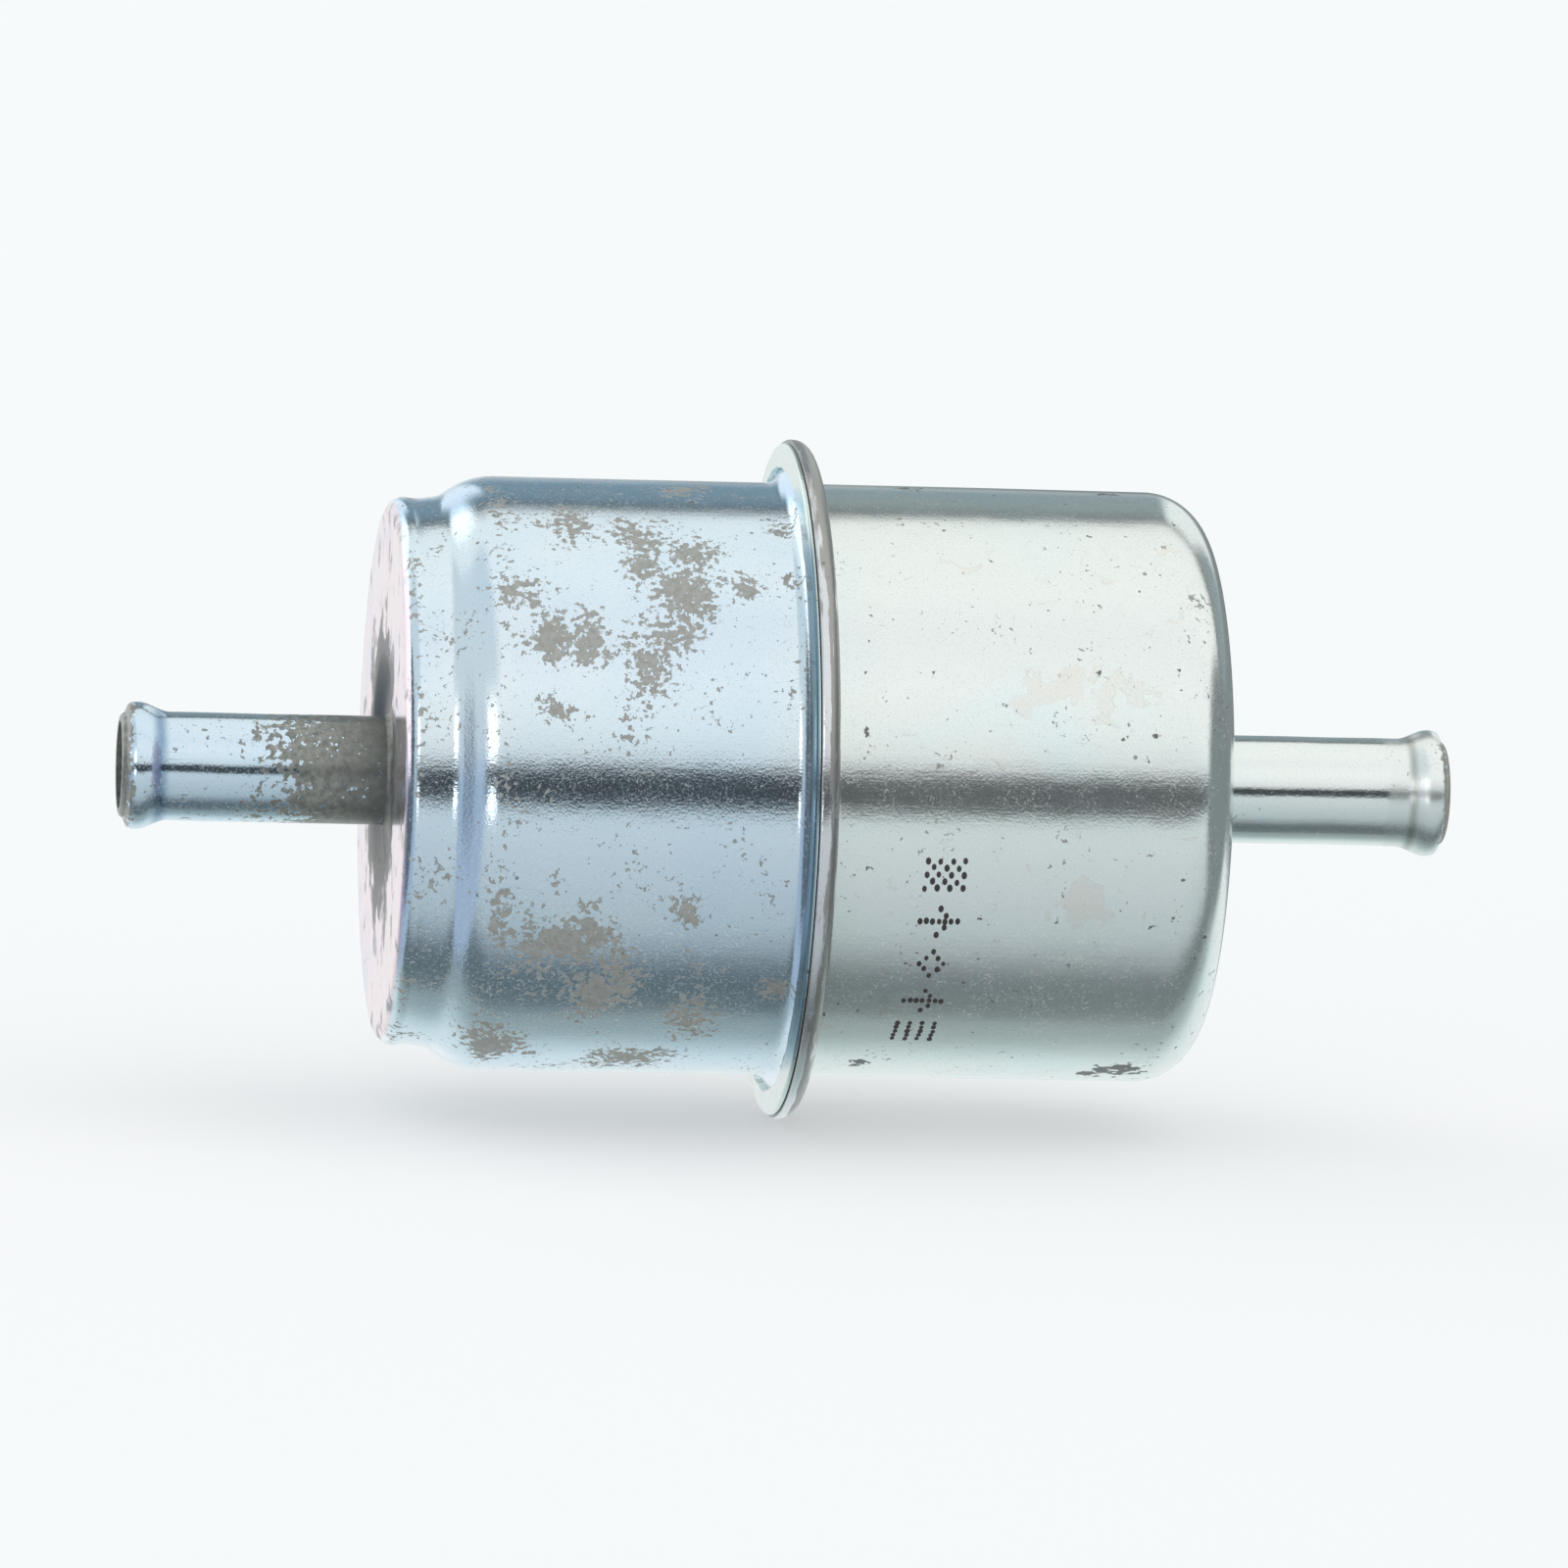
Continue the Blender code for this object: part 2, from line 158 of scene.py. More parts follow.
def line(start, end, steps):
    """Points along a straight line, without its first point."""
    (x0, r0), (x1, r1) = start, end
    return [(x0 + (x1 - x0) * i / steps, r0 + (r1 - r0) * i / steps) for i in range(1, steps + 1)]


def offset(path, thickness):
    """The path moved to its right by the thickness of the sheet."""
    normals = []
    for (x0, r0), (x1, r1) in zip(path, path[1:]):
        length = math.hypot(x1 - x0, r1 - r0)
        normals.append(Vector(((r1 - r0) / length, -(x1 - x0) / length)))
    joints = [normals[0]]
    for before, after in zip(normals, normals[1:]):
        joints.append((before + after) / (1 + before.dot(after)))
    joints.append(normals[-1])
    return [(x + n.x * thickness, r + n.y * thickness) for (x, r), n in zip(path, joints)]


def new_object(name, bm, smooth=False):
    """Object from a bmesh, put in the scene. Smooth ones keep their sharp edges."""
    mesh = bpy.data.meshes.new(name)
    bm.to_mesh(mesh)
    bm.free()
    if smooth:
        mesh.shade_smooth()
        mesh.set_sharp_from_angle(angle=math.radians(SHARP))
    made = bpy.data.objects.new(name, mesh)
    bpy.context.scene.collection.objects.link(made)
    return made


def turned(name, outline, segments, shift):
    """Turn a closed outline of (x, r) points about X. shift(x, r, angle) is added to a point's radius."""
    bm = bmesh.new()
    rings = []
    for x, r in outline:
        ring = []
        for i in range(segments):
            angle = math.tau * i / segments
            out = r + shift(x, r, angle)
            ring.append(bm.verts.new((x, -out * math.cos(angle), out * math.sin(angle))))
        rings.append(ring)
    for a, b in zip(rings, rings[1:] + rings[:1]):
        for i in range(segments):
            j = (i + 1) % segments
            bm.faces.new((a[i], b[i], b[j], a[j]))
    bmesh.ops.recalc_face_normals(bm, faces=bm.faces)
    return new_object(name, bm, smooth=True)


def wobble(x, r, angle, size=0.025 * MM, wave=14 * MM):
    """Slow unevenness of hand-size drawn sheet: a small change of radius."""
    place = Vector((x, r * math.cos(angle), r * math.sin(angle))) / wave
    return size * noise.noise(place)


def inlet_can():
    """Left can: sunk ring, flat end, neck, S-shaped step, straight wall and the flange at its mouth."""
    path = [(INLET_FACE + RECESS_DEPTH, TUBE_RADIUS + TUBE_GAP)]
    for i in range(13):
        t = i / 12
        path.append((INLET_FACE + RECESS_DEPTH * (1 - ogee(t)), RECESS_RADIUS - RECESS_WALL * (1 - t)))
    flat_end = (INLET_FACE, NECK_RADIUS - INLET_CORNER)
    path += line(path[-1], flat_end, 12)
    path += arc((INLET_FACE + INLET_CORNER, NECK_RADIUS - INLET_CORNER), INLET_CORNER, 180, 90, 10)[1:]
    neck_start = path[-1][0]
    step_start = INLET_FACE + NECK_LENGTH
    for i in range(1, 11):
        t = i / 10
        x = neck_start + (step_start - neck_start) * t
        path.append((x, NECK_RADIUS - NECK_WAIST * math.sin(math.pi * t)))
    path += arc((step_start, NECK_RADIUS + STEP_HOLLOW), STEP_HOLLOW, 270, 270 + STEP_SLOPE, 8)[1:]
    steep = math.radians(STEP_SLOPE)
    shoulder_rise = STEP_SHOULDER * (1 - math.cos(steep))
    rise = CAN_RADIUS - shoulder_rise - path[-1][1]
    path.append((path[-1][0] + rise / math.tan(steep), path[-1][1] + rise))
    shoulder = (path[-1][0] + STEP_SHOULDER * math.sin(steep), CAN_RADIUS - STEP_SHOULDER)
    path += arc(shoulder, STEP_SHOULDER, 90 + STEP_SLOPE, 90, 12)[1:]
    fillet = (SEAM + INLET_FILLET_X, CAN_RADIUS + INLET_FILLET)
    path += line(path[-1], (fillet[0], CAN_RADIUS), 24)
    path += arc(fillet, INLET_FILLET, 270, 270 + INLET_FILLET_TURN, 12)[1:]
    path += line(path[-1], (SEAM + INLET_FLANGE_X, INLET_FLANGE_RADIUS), 2)

    def shift(x, r, angle):
        return wobble(x, r, angle)

    return turned("inlet_can", path + offset(path, SHEET)[::-1], ROUND, shift)


def crown():
    """Rolled rim of the seam, as arcs that meet smoothly, from the groove to its right side."""
    x, r = CROWN_X, 0.0
    points = [(x, r)]
    for radius, start, end in CROWN_ARCS:
        for i in range(CROWN_STEPS):
            a = math.radians(start + (end - start) * i / CROWN_STEPS)
            b = math.radians(start + (end - start) * (i + 1) / CROWN_STEPS)
            x += radius * (math.sin(a) - math.sin(b))
            r += radius * (math.cos(b) - math.cos(a))
            points.append((x, r))
    top = max(r for x, r in points)
    return [(SEAM + x, CROWN_RADIUS + r - top) for x, r in points]


def outlet_can():
    """Right can: folded lip, groove, rolled rim, straight wall, round corner and flat end."""
    lip = (SEAM + LIP_EDGE_X, LIP_EDGE_RADIUS)
    shoulder_centre = (SEAM + LIP_SHOULDER_X, LIP_SHOULDER_RADIUS - LIP_SHOULDER_ROUND)
    shoulder = arc(shoulder_centre, LIP_SHOULDER_ROUND, 163, 72, 8)
    groove = (SEAM + GROOVE_X, GROOVE_RADIUS)
    rim = crown()
    foot = (rim[-1][0], CAN_RADIUS + OUTLET_FILLET)
    fillet = arc((foot[0] + OUTLET_FILLET, foot[1]), OUTLET_FILLET, 180, 270, 10)
    corner_centre = (OUTLET_FACE - OUTLET_CORNER, CAN_RADIUS - OUTLET_CORNER)
    corner = arc(corner_centre, OUTLET_CORNER, 90, 0, 24)
    wall = line(fillet[-1], corner[0], 24)
    end = line(corner[-1], (OUTLET_FACE, TUBE_RADIUS + TUBE_GAP), 14)
    fold = (SEAM - 0.60 * MM, CROWN_RADIUS - 0.75 * MM)
    inner = [(lip[0] + SHEET, lip[1]), fold, (foot[0] - SHEET, fold[1])]
    inner += offset(fillet + wall + corner[1:] + end, SHEET)
    outer = [lip] + line(lip, shoulder[0], 8) + shoulder[1:] + [groove] + rim
    outer += fillet + wall + corner[1:] + end

    def shift(x, r, angle):
        if x < SEAM and r < LIP_EDGE_RADIUS + LIP_RAGGED_TO:
            edge = max(0.0, min(1.0, (LIP_EDGE_RADIUS + LIP_RAGGED_TO - r) / LIP_RAGGED_TO))
            return edge * ragged(angle)
        return wobble(x, r, angle)

    return turned("outlet_can", outer + inner[::-1], ROUND * 2, shift)


def ragged(angle):
    """Uneven trim of the folded lip."""
    place = Vector((math.cos(angle), math.sin(angle), 0.0))
    return 0.16 * MM * noise.noise(place * 9) + 0.10 * MM * noise.noise(place * 38)


def bead_radius(x):
    """Outside radius of the bead, x from the tip. It rises fast and falls away slowly."""
    if x < BEAD_PEAK:
        t = 1 - x / BEAD_PEAK
        return BEAD_RADIUS - (BEAD_RADIUS - TUBE_RADIUS) * t * t
    t = min(1.0, (x - BEAD_PEAK) / (BEAD_END - BEAD_PEAK))
    return BEAD_RADIUS - (BEAD_RADIUS - TUBE_RADIUS) * ogee(t)


def nipple(name, tip, inner_end):
    """Beaded tube, with a rolled tip and a bore that bells out a little under the bead."""
    way = 1 if inner_end > tip else -1
    lip = TUBE_RADIUS - 0.1 * MM
    profile = arc((TIP_ROUND, lip - TIP_ROUND), TIP_ROUND, 200, 108, 12)
    start = BEAD_PEAK * 0.5
    for i in range(25):
        x = start + (BEAD_END - start) * i / 24
        profile.append((x, bead_radius(x)))
    length = abs(inner_end - tip)
    profile += line((BEAD_END, TUBE_RADIUS), (length, TUBE_RADIUS), 20)
    bell_start = BEAD_END + 1.2 * MM
    profile += [(length, BORE_RADIUS), (bell_start, BORE_RADIUS)]
    for i in range(1, 9):
        t = i / 9
        x = bell_start * (1 - t) + TIP_ROUND * 0.6 * t
        profile.append((x, BORE_RADIUS + BORE_BELL * math.sin(math.pi * t)))
    outline = [(tip + way * x, r) for x, r in profile]

    def shift(x, r, angle):
        return wobble(x, r, angle, 0.03 * MM, 5 * MM)

    return turned(name, outline, SMALL_ROUND, shift)


def braze_fillet(name, wall, way):
    """Hollow fillet of braze metal, a little uneven all round."""
    inner = TUBE_RADIUS + 0.03 * MM
    floor = wall + way * 0.03 * MM
    outline = [(floor, inner), (floor + way * BRAZE_HEIGHT, inner)]
    for i in range(1, 9):
        angle = math.pi / 2 * i / 9
        outline.append((floor + way * BRAZE_HEIGHT * (1 - math.sin(angle)),
                        inner + BRAZE_WIDTH * (1 - math.cos(angle))))
    outline.append((floor, inner + BRAZE_WIDTH))

    def shift(x, r, angle):
        outward = (r - inner) / BRAZE_WIDTH
        place = Vector((math.cos(angle) * 2.2, math.sin(angle) * 2.2, wall / MM))
        return outward * 0.35 * MM * noise.noise(place)

    return turned(name, outline, SMALL_ROUND, shift)


def spring():
    """Round wire spring with closed end turns, as long as the CAD's."""
    low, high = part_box("preload_spring")
    wire = SPRING_WIRE / 2
    start = low.x + wire
    end = high.x - wire
    closed = SPRING_WIRE * SPRING_CLOSED
    working = SPRING_TURNS - 2
    pitch = (end - start - 2 * closed) / working
    count = round(SPRING_TURNS * SPRING_STEPS)
    bm = bmesh.new()
    rings = []
    for i in range(count + 1):
        turn = SPRING_TURNS * i / count
        x = start + closed * min(turn, 1) + pitch * max(0, min(turn - 1, working))
        x += closed * max(0, turn - 1 - working)
        out = Vector((0.0, math.sin(math.tau * turn), math.cos(math.tau * turn)))
        ring = []
        for j in range(SPRING_SIDES):
            a = math.tau * j / SPRING_SIDES
            offset_out = SPRING_RADIUS + wire * math.cos(a)
            ring.append(bm.verts.new(out * offset_out + Vector((x + wire * math.sin(a), 0.0, 0.0))))
        rings.append(ring)
    for a, b in zip(rings, rings[1:]):
        for j in range(SPRING_SIDES):
            k = (j + 1) % SPRING_SIDES
            bm.faces.new((a[j], a[k], b[k], b[j]))
    bm.faces.new(rings[0][::-1])
    bm.faces.new(rings[-1])
    bmesh.ops.recalc_face_normals(bm, faces=bm.faces)
    return new_object("coil", bm, smooth=True), (start, 0.0, 0.0), (end, 0.0, 0.0)


# ---------------------------------------------------------------- ink marks

INK_X = 9.2 * MM                 # middle of the marks along the axis
INK_START = -9.0                 # degrees up from the camera side, first row of dots
DOT_PITCH = 0.455 * MM
ROW_PITCH = 0.52 * MM
DOT_RADIUS = 0.205 * MM
DOT_SIDES = 10
INK_SLANT = -0.07                # how far each row leans over, in dots
INK_TOP = 0.028 * MM             # height of the ink's outside over the can
INK_DEPTH = 0.02 * MM
MARK_GAP = 2                     # empty rows between marks
INK_SEED = 1795060406            # any fixed number: noise_vector starts from the clock without one

CHECK = ("#.#.#.#", ".#.#.#.", "#.#.#.#", ".#.#.#.", "#.#.#.#")
ARROW = ("...#...", "....#..", "#######", "....#..", "...#...")
DIAMOND = ("...#...", "..#.#..", ".#...#.", "..#.#..", "...#...")
BARS = ("#.#.#.#",) * 5
MARKS = (CHECK, ARROW, DIAMOND, ARROW, BARS)


def ink_marks():
    """Sprayed dots in a line round the can: generic blocks, arrows and a diamond."""
    noise.seed_set(INK_SEED)
    bm = bmesh.new()
    row = 0
    for mark in MARKS:
        for dots in mark:
            for column, dot in enumerate(dots):
                if dot == "#":
                    ink_dot(bm, row, column)
            row += 1
        row += MARK_GAP
    return new_object("ink_marks", bm)


def ink_dot(bm, row, column):
    """One flat drop, stretched a little along the spray's travel, laid on the curve of the can."""
    jitter = noise.noise_vector(Vector((row * 0.7, column * 1.3, 3.1)))
    angle = math.radians(INK_START) - (row + 0.25 * jitter.x) * ROW_PITCH / CAN_RADIUS
    middle = (len(CHECK[0]) - 1) / 2
    x = INK_X + (column - middle + 0.15 * jitter.y + INK_SLANT * row) * DOT_PITCH
    size = DOT_RADIUS * (1 + 0.25 * jitter.z)
    outside = CAN_RADIUS + INK_TOP
    top = []
    bottom = []
    for i in range(DOT_SIDES):
        turn = math.tau * i / DOT_SIDES
        a = angle + 1.25 * size * math.sin(turn) / CAN_RADIUS
        dx = 0.9 * size * math.cos(turn)
        for ring, r in ((bottom, outside - INK_DEPTH), (top, outside)):
            ring.append(bm.verts.new((x + dx, -r * math.cos(a), r * math.sin(a))))
    bm.faces.new(top)
    bm.faces.new(bottom[::-1])
    for i in range(DOT_SIDES):
        j = (i + 1) % DOT_SIDES
        bm.faces.new((bottom[i], bottom[j], top[j], top[i]))


# ---------------------------------------------------------------- material nodes

class Nodes:
    """Short names for adding shader nodes. Inputs are sockets or plain values."""

    def __init__(self, tree):
        self.tree = tree
        tree.nodes.clear()

    def add(self, kind, inputs=None, **settings):
        node = self.tree.nodes.new(kind)
        for key, value in settings.items():
            setattr(node, key, value)
        for key, value in (inputs or {}).items():
            self.feed(node.inputs[key], value)
        return node

    def feed(self, socket, value):
        if isinstance(value, bpy.types.NodeSocket):
            self.tree.links.new(value, socket)
        else:
            socket.default_value = value

    def math(self, operation, a, b=0.0, c=0.0, clamp=False):
        node = self.add("ShaderNodeMath", {0: a, 1: b, 2: c}, operation=operation, use_clamp=clamp)
        return node.outputs[0]

    def product(self, first, *others):
        """The values multiplied together."""
        total = first
        for value in others:
            total = self.math("MULTIPLY", total, value)
        return total

    def between(self, value, low, high, to_low=0.0, to_high=1.0):
        """Smooth step from to_low to to_high as value goes from low to high."""
        node = self.add("ShaderNodeMapRange", {"Value": value, "From Min": low, "From Max": high,
                                               "To Min": to_low, "To Max": to_high})
        node.interpolation_type = "SMOOTHSTEP"
        return node.outputs[0]

    def mix(self, factor, a, b):
        """Colour a where the factor is 0, and b where it is 1."""
        node = self.add("ShaderNodeMix", data_type="RGBA")
        self.feed(node.inputs["Factor"], factor)
        self.feed(node.inputs[6], a)
        self.feed(node.inputs[7], b)
        return node.outputs[2]

    def noise(self, where, scale, detail=3.0, roughness=0.55, distortion=0.0):
        node = self.add("ShaderNodeTexNoise", {"Vector": where, "Scale": scale, "Detail": detail,
                                               "Roughness": roughness, "Distortion": distortion})
        return node.outputs["Fac"]

    def ramp(self, value, stops):
        """Colour ramp through (position, colour) stops."""
        node = self.add("ShaderNodeValToRGB", {"Fac": value})
        elements = node.color_ramp.elements
        while len(elements) > 1:
            elements.remove(elements[-1])
        first_position, first_colour = stops[0]
        elements[0].position = first_position
        elements[0].color = (*first_colour, 1.0)
        for position, colour in stops[1:]:
            elements.new(position).color = (*colour, 1.0)
        return node.outputs["Color"]

    def scaled(self, vector, factors):
        """A vector or colour, each part multiplied by its own factor."""
        node = self.add("ShaderNodeVectorMath", {0: vector, 1: factors}, operation="MULTIPLY")
        return node.outputs[0]

    def parts(self, vector):
        """The three parts of a vector or colour."""
        node = self.add("ShaderNodeSeparateXYZ", {0: vector})
        return node.outputs[0], node.outputs[1], node.outputs[2]


def principled(n, **inputs):
    """Principled shader on the material's output."""
    names = {
        "colour": "Base Color",
        "metallic": "Metallic",
        "roughness": "Roughness",
        "normal": "Normal",
    }
    shader = n.add("ShaderNodeBsdfPrincipled", {names[key]: value for key, value in inputs.items()})
    out = n.add("ShaderNodeOutputMaterial")
    n.tree.links.new(shader.outputs[0], out.inputs["Surface"])
    return shader


def new_material(name):
    """Empty material, with the place on the piece in millimetres."""
    made = bpy.data.materials.new(name)
    made.use_nodes = True
    n = Nodes(made.node_tree)
    coordinates = n.add("ShaderNodeTexCoord")
    where = n.scaled(coordinates.outputs["Object"], (1 / MM, 1 / MM, 1 / MM))
    return made, n, where


# ---------------------------------------------------------------- zinc plating

# Tints of the plating, from the darkest to the lightest part of its clouds
BLUE_TINTS = ((0.69, 0.82, 0.91), (0.74, 0.85, 0.92), (0.79, 0.87, 0.90))
TUBE_TINTS = ((0.64, 0.79, 0.91), (0.69, 0.82, 0.91), (0.74, 0.85, 0.90))
PALE_TINTS = ((0.82, 0.90, 0.89), (0.86, 0.90, 0.86), (0.87, 0.90, 0.87))

# Usual values, for the pieces whose marks don't set their own
WORN_TINTS = ((0.34, 0.33, 0.295), (0.46, 0.45, 0.415))     # dark and light grey of the worn metal
WORN_ROUGH = 0.42                # added to the roughness where it is worn
WEAR_LIMIT = 0.655               # noise above this has worn through
SPECK_LIMIT = 0.69               # and fine noise above this makes scattered specks
LACE_SCALE = 2.1                 # how fine the edges of the worn islands are
FILM = 0.02                      # how much the clean plating hides the metal's shine

DUST = (0.74, 0.77, 0.78, 1.0)
STAIN = (0.82, 0.71, 0.60, 1.0)
TIDE_LINE = (0.55, 0.42, 0.30, 1.0)
GRIME = (0.10, 0.095, 0.085, 1.0)
PIT = (0.20, 0.18, 0.15, 1.0)
SCRATCH = (0.28, 0.27, 0.25, 1.0)
END_FILM = ((0.66, 0.66, 0.80), (0.84, 0.68, 0.76), (0.86, 0.72, 0.72), (0.70, 0.74, 0.76))
END_WORN = (0.42, 0.43, 0.40, 1.0)
# Darker grey of the inlet end, towards the tube and its sunk ring
END_DARKER_GREY = (0.16, 0.17, 0.16, 1.0)
# Painted shade of the folded lip's crevice: dark teal over a bluer film
LIP_SHADE_TEAL = (0.20, 0.31, 0.37, 1.0)
LIP_GREENS = ((0.56, 0.76, 0.74, 1.0), (0.74, 0.78, 0.70, 1.0))
RIM_PALE = (0.72, 0.72, 0.74, 1.0)
RIM_RUBBED = (0.36, 0.35, 0.32, 1.0)
# Painted shade in the seam's groove and along the folded lip's edge
SEAM_SHADE = (0.08, 0.09, 0.09, 1.0)

# What is where on each piece. Lengths and places are in mm.
#   worn, stain, grime   spots on the can: (x, degrees up from the camera's side, reach)
#   rubbed               worn bands round the piece: (x, reach, strength)
#   worn_from            x where the wear begins, and where it is full
#   ring                 a tinted band: (x, reach, factors for the colour)
#   dull                 x where the metal begins to go dull, and where it is dull
#   painted_reflection_above  painted reflection of the dark backdrop: the film is painted bluer where
#   height over radius is more than this
#   end, seam            x of the flat end, and of the folded seam
#   dust                 how much pale dust there is, where 1 is the usual amount
# film, specks, wear_limit, lace, worn_tints and worn_rough replace the usual values above.
INLET_MARKS = {
    "end": INLET_FACE / MM,
    "rubbed": ((-22.8, 1.6, 0.075), (INLET_FACE / MM + 0.9, 0.9, 0.08)),
    "painted_reflection_above": 0.945,
    "worn": (
        (-17.0, 57, 3.6), (-12.8, 54, 4.4), (-12.8, 44, 2.6), (-8.9, 48, 3.4), (-9.6, 37, 4.6),
        (-10.4, 30, 3.6), (-5.2, 39, 2.0), (-16.5, 26, 3.9), (-19.2, 27, 3.0), (-12.8, 19, 3.6),
        (-22.0, 37, 2.9), (-19.2, 12, 2.2), (-1.8, 42, 1.5), (-2.3, 56, 1.5), (-8.5, 74, 3.0),
        (-19.0, -20, 2.2), (-9.2, -27, 1.9), (-18.5, -35, 5.6), (-15.0, -45, 4.6), (-2.2, -44, 2.2),
        (-8.3, -54, 3.4), (-21.6, -65, 4.2), (-12.6, -71, 4.4), (-26.9, -26, 2.4), (-27.3, -74, 2.6),
        (-16.0, 140, 6.0), (-9.0, 190, 5.0), (-21.0, 230, 5.0),
    ),
}
INLET_TUBE_MARKS = {
    "rubbed": ((INLET_TIP / MM + 0.1, 1.3, 0.34),),
    "ring": (INLET_TIP / MM + 2.8, 0.8, (0.40, 0.49, 0.60)),
    "worn_from": (-42.0, -32.5),
    "worn_tints": ((0.17, 0.175, 0.15), (0.38, 0.37, 0.32)),
    "worn_rough": 0.26,
    "lace": 1.9,
}
OUTLET_TUBE_MARKS = {
    "rubbed": ((OUTLET_TIP / MM - 0.1, 1.0, 0.36),),
    "ring": (OUTLET_TIP / MM - 2.8, 0.5, (0.66, 0.65, 0.62)),
    "dull": (43.9, 44.6),
    "dust": 0.45,
    "specks": 0.73,
    "wear_limit": 0.73,
}
OUTLET_MARKS = {
    "film": 0.09,
    "dust": 0.7,
    "specks": 0.725,
    "wear_limit": 0.70,
    "seam": SEAM / MM,
    "worn": ((20.0, 150, 5.0), (9.0, 215, 4.5), (28.0, 39, 1.2)),
    "stain": (
        (16.0, 18, 2.6), (18.0, 19, 2.8), (20.4, 18, 2.8), (22.8, 17, 2.4), (14.2, 16, 2.0),
        (19.6, -24, 3.5),
    ),
    "grime": ((24.1, -73, 3.2), (22.5, -75, 2.2), (4.9, -71, 1.3), (8.4, 82, 1.8), (23.0, 80, 1.5)),
}


def place_on_can(x, degrees):
    """Point on the can, in mm: x along the axis, degrees up from the camera's side."""
    angle = math.radians(degrees + CAMERA_ELEVATION)
    radius = CAN_RADIUS / MM
    return (x, -radius * math.cos(angle), radius * math.sin(angle))


def near(n, where, spots):
    """1 at any of the spots, falling evenly to 0 at its reach."""
    total = 0.0
    for x, degrees, reach in spots:
        spot = place_on_can(x, degrees)
        away = n.add("ShaderNodeVectorMath", {0: where, 1: spot}, operation="DISTANCE")
        close = n.math("MULTIPLY_ADD", away.outputs["Value"], -1 / reach, 1.0)
        total = n.math("MAXIMUM", close, total)
    return total


def band(n, x, centre, reach, strength=1.0):
    """strength in the middle of a band round the piece, falling to 0 at its reach."""
    away = n.math("ABSOLUTE", n.math("SUBTRACT", x, centre))
    return n.between(away, 0.0, reach, strength, 0.0)


def film_colour(n, at, x, z, r, tints, marks):
    """Cloudy tint of the plating, with a bluer top that is a painted reflection, and a tinted ring on the
    pieces that have them.
    """
    dark, middle, light = tints
    clouds = n.noise(at, 0.07, 3.0, 0.5, 0.6)
    colour = n.ramp(clouds, [(0.30, dark), (0.50, middle), (0.68, light)])
    if "painted_reflection_above" in marks:
        limit = marks["painted_reflection_above"]
        # Painted reflection: the top of the can is tinted bluer, standing in for the dark backdrop
        # mirrored there
        top = n.between(n.math("DIVIDE", z, r), limit - 0.012, limit + 0.012)
        colour = n.mix(top, colour, n.scaled(colour, (0.80, 0.95, 1.10)))
    if "ring" in marks:
        centre, reach, factors = marks["ring"]
        colour = n.mix(band(n, x, centre, reach), colour, n.scaled(colour, factors))
    return colour


def dust_grains(n, at, amount):
    """Fine grains that gather in patches."""
    grains = n.between(n.noise(at, 4.6, 4.0, 0.7), 0.50, 0.66)
    patches = n.between(n.noise(at, 0.5, 3.0, 0.6), 0.30, 0.60, 0.35, 1.0)
    return n.product(grains, patches, amount)


def film_roughness(n, at, x, rough, marks):
    """Uneven roughness of the clean plating, with the dull end of the piece that has one."""
    roughness = n.between(n.noise(at, 0.25, 4.0, 0.6), 0.3, 0.7, rough * 0.85, rough * 1.2)
    if "dull" in marks:
        start, full = marks["dull"]
        roughness = n.math("ADD", n.between(x, start, full, 0.0, 0.17), roughness)
    return roughness


def worn_islands(n, at, where, x, marks):
    """1 where the zinc has worn through: lacy islands near the worn places, and thinly spread specks."""
    coarse = n.noise(at, 0.28, 2.0, 0.5, 0.3)
    lace = n.noise(at, marks.get("lace", LACE_SCALE), 5.0, 0.62)
    level = n.math("MULTIPLY_ADD", n.math("SUBTRACT", coarse, 0.5), 0.45, lace)
    if "worn" in marks:
        level = n.math("MULTIPLY_ADD", near(n, where, marks["worn"]), 0.265, level)
    if "worn_from" in marks:
        start, full = marks["worn_from"]
        level = n.math("ADD", n.between(x, start, full, 0.0, 0.32), level)
    for centre, reach, strength in marks.get("rubbed", ()):
        level = n.math("ADD", band(n, x, centre, reach, strength), level)
    limit = marks.get("wear_limit", WEAR_LIMIT)
    islands = n.between(level, limit, limit + 0.015)
    limit = marks.get("specks", SPECK_LIMIT)
    specks = n.between(n.noise(at, 2.9, 4.0, 0.55), limit, limit + 0.02)
    scatter = n.between(coarse, 0.40, 0.55, 0.3, 1.0)
    return n.math("MAXIMUM", islands, n.product(specks, scatter))


def worn_colour(n, at, x, marks):
    """Mottled grey of the worn metal, darker towards the end where the wear is full."""
    dark, light = marks.get("worn_tints", WORN_TINTS)
    colour = n.ramp(n.noise(at, 2.0, 5.0, 0.65), [(0.35, dark), (0.65, light)])
    if "worn_from" in marks:
        full = marks["worn_from"][1]
        darker = n.between(x, full - 2.5, full + 2.5, 0.0, 0.7)
        colour = n.mix(darker, colour, (*dark, 1.0))
    return colour


def stained(n, at, where, spots, colour):
    """Pale brown stain with a darker tide line round it."""
    wet = n.math("MULTIPLY_ADD", near(n, where, spots), 0.34, n.noise(at, 0.45, 5.0, 0.6, 0.6))
    stain = n.between(wet, 0.66, 0.74)
    tide = n.product(n.between(wet, 0.655, 0.675), n.between(wet, 0.675, 0.70, 1.0, 0.0))
    colour = n.mix(n.product(stain, 0.32), colour, STAIN)
    return n.mix(n.product(tide, 0.22), colour, TIDE_LINE)


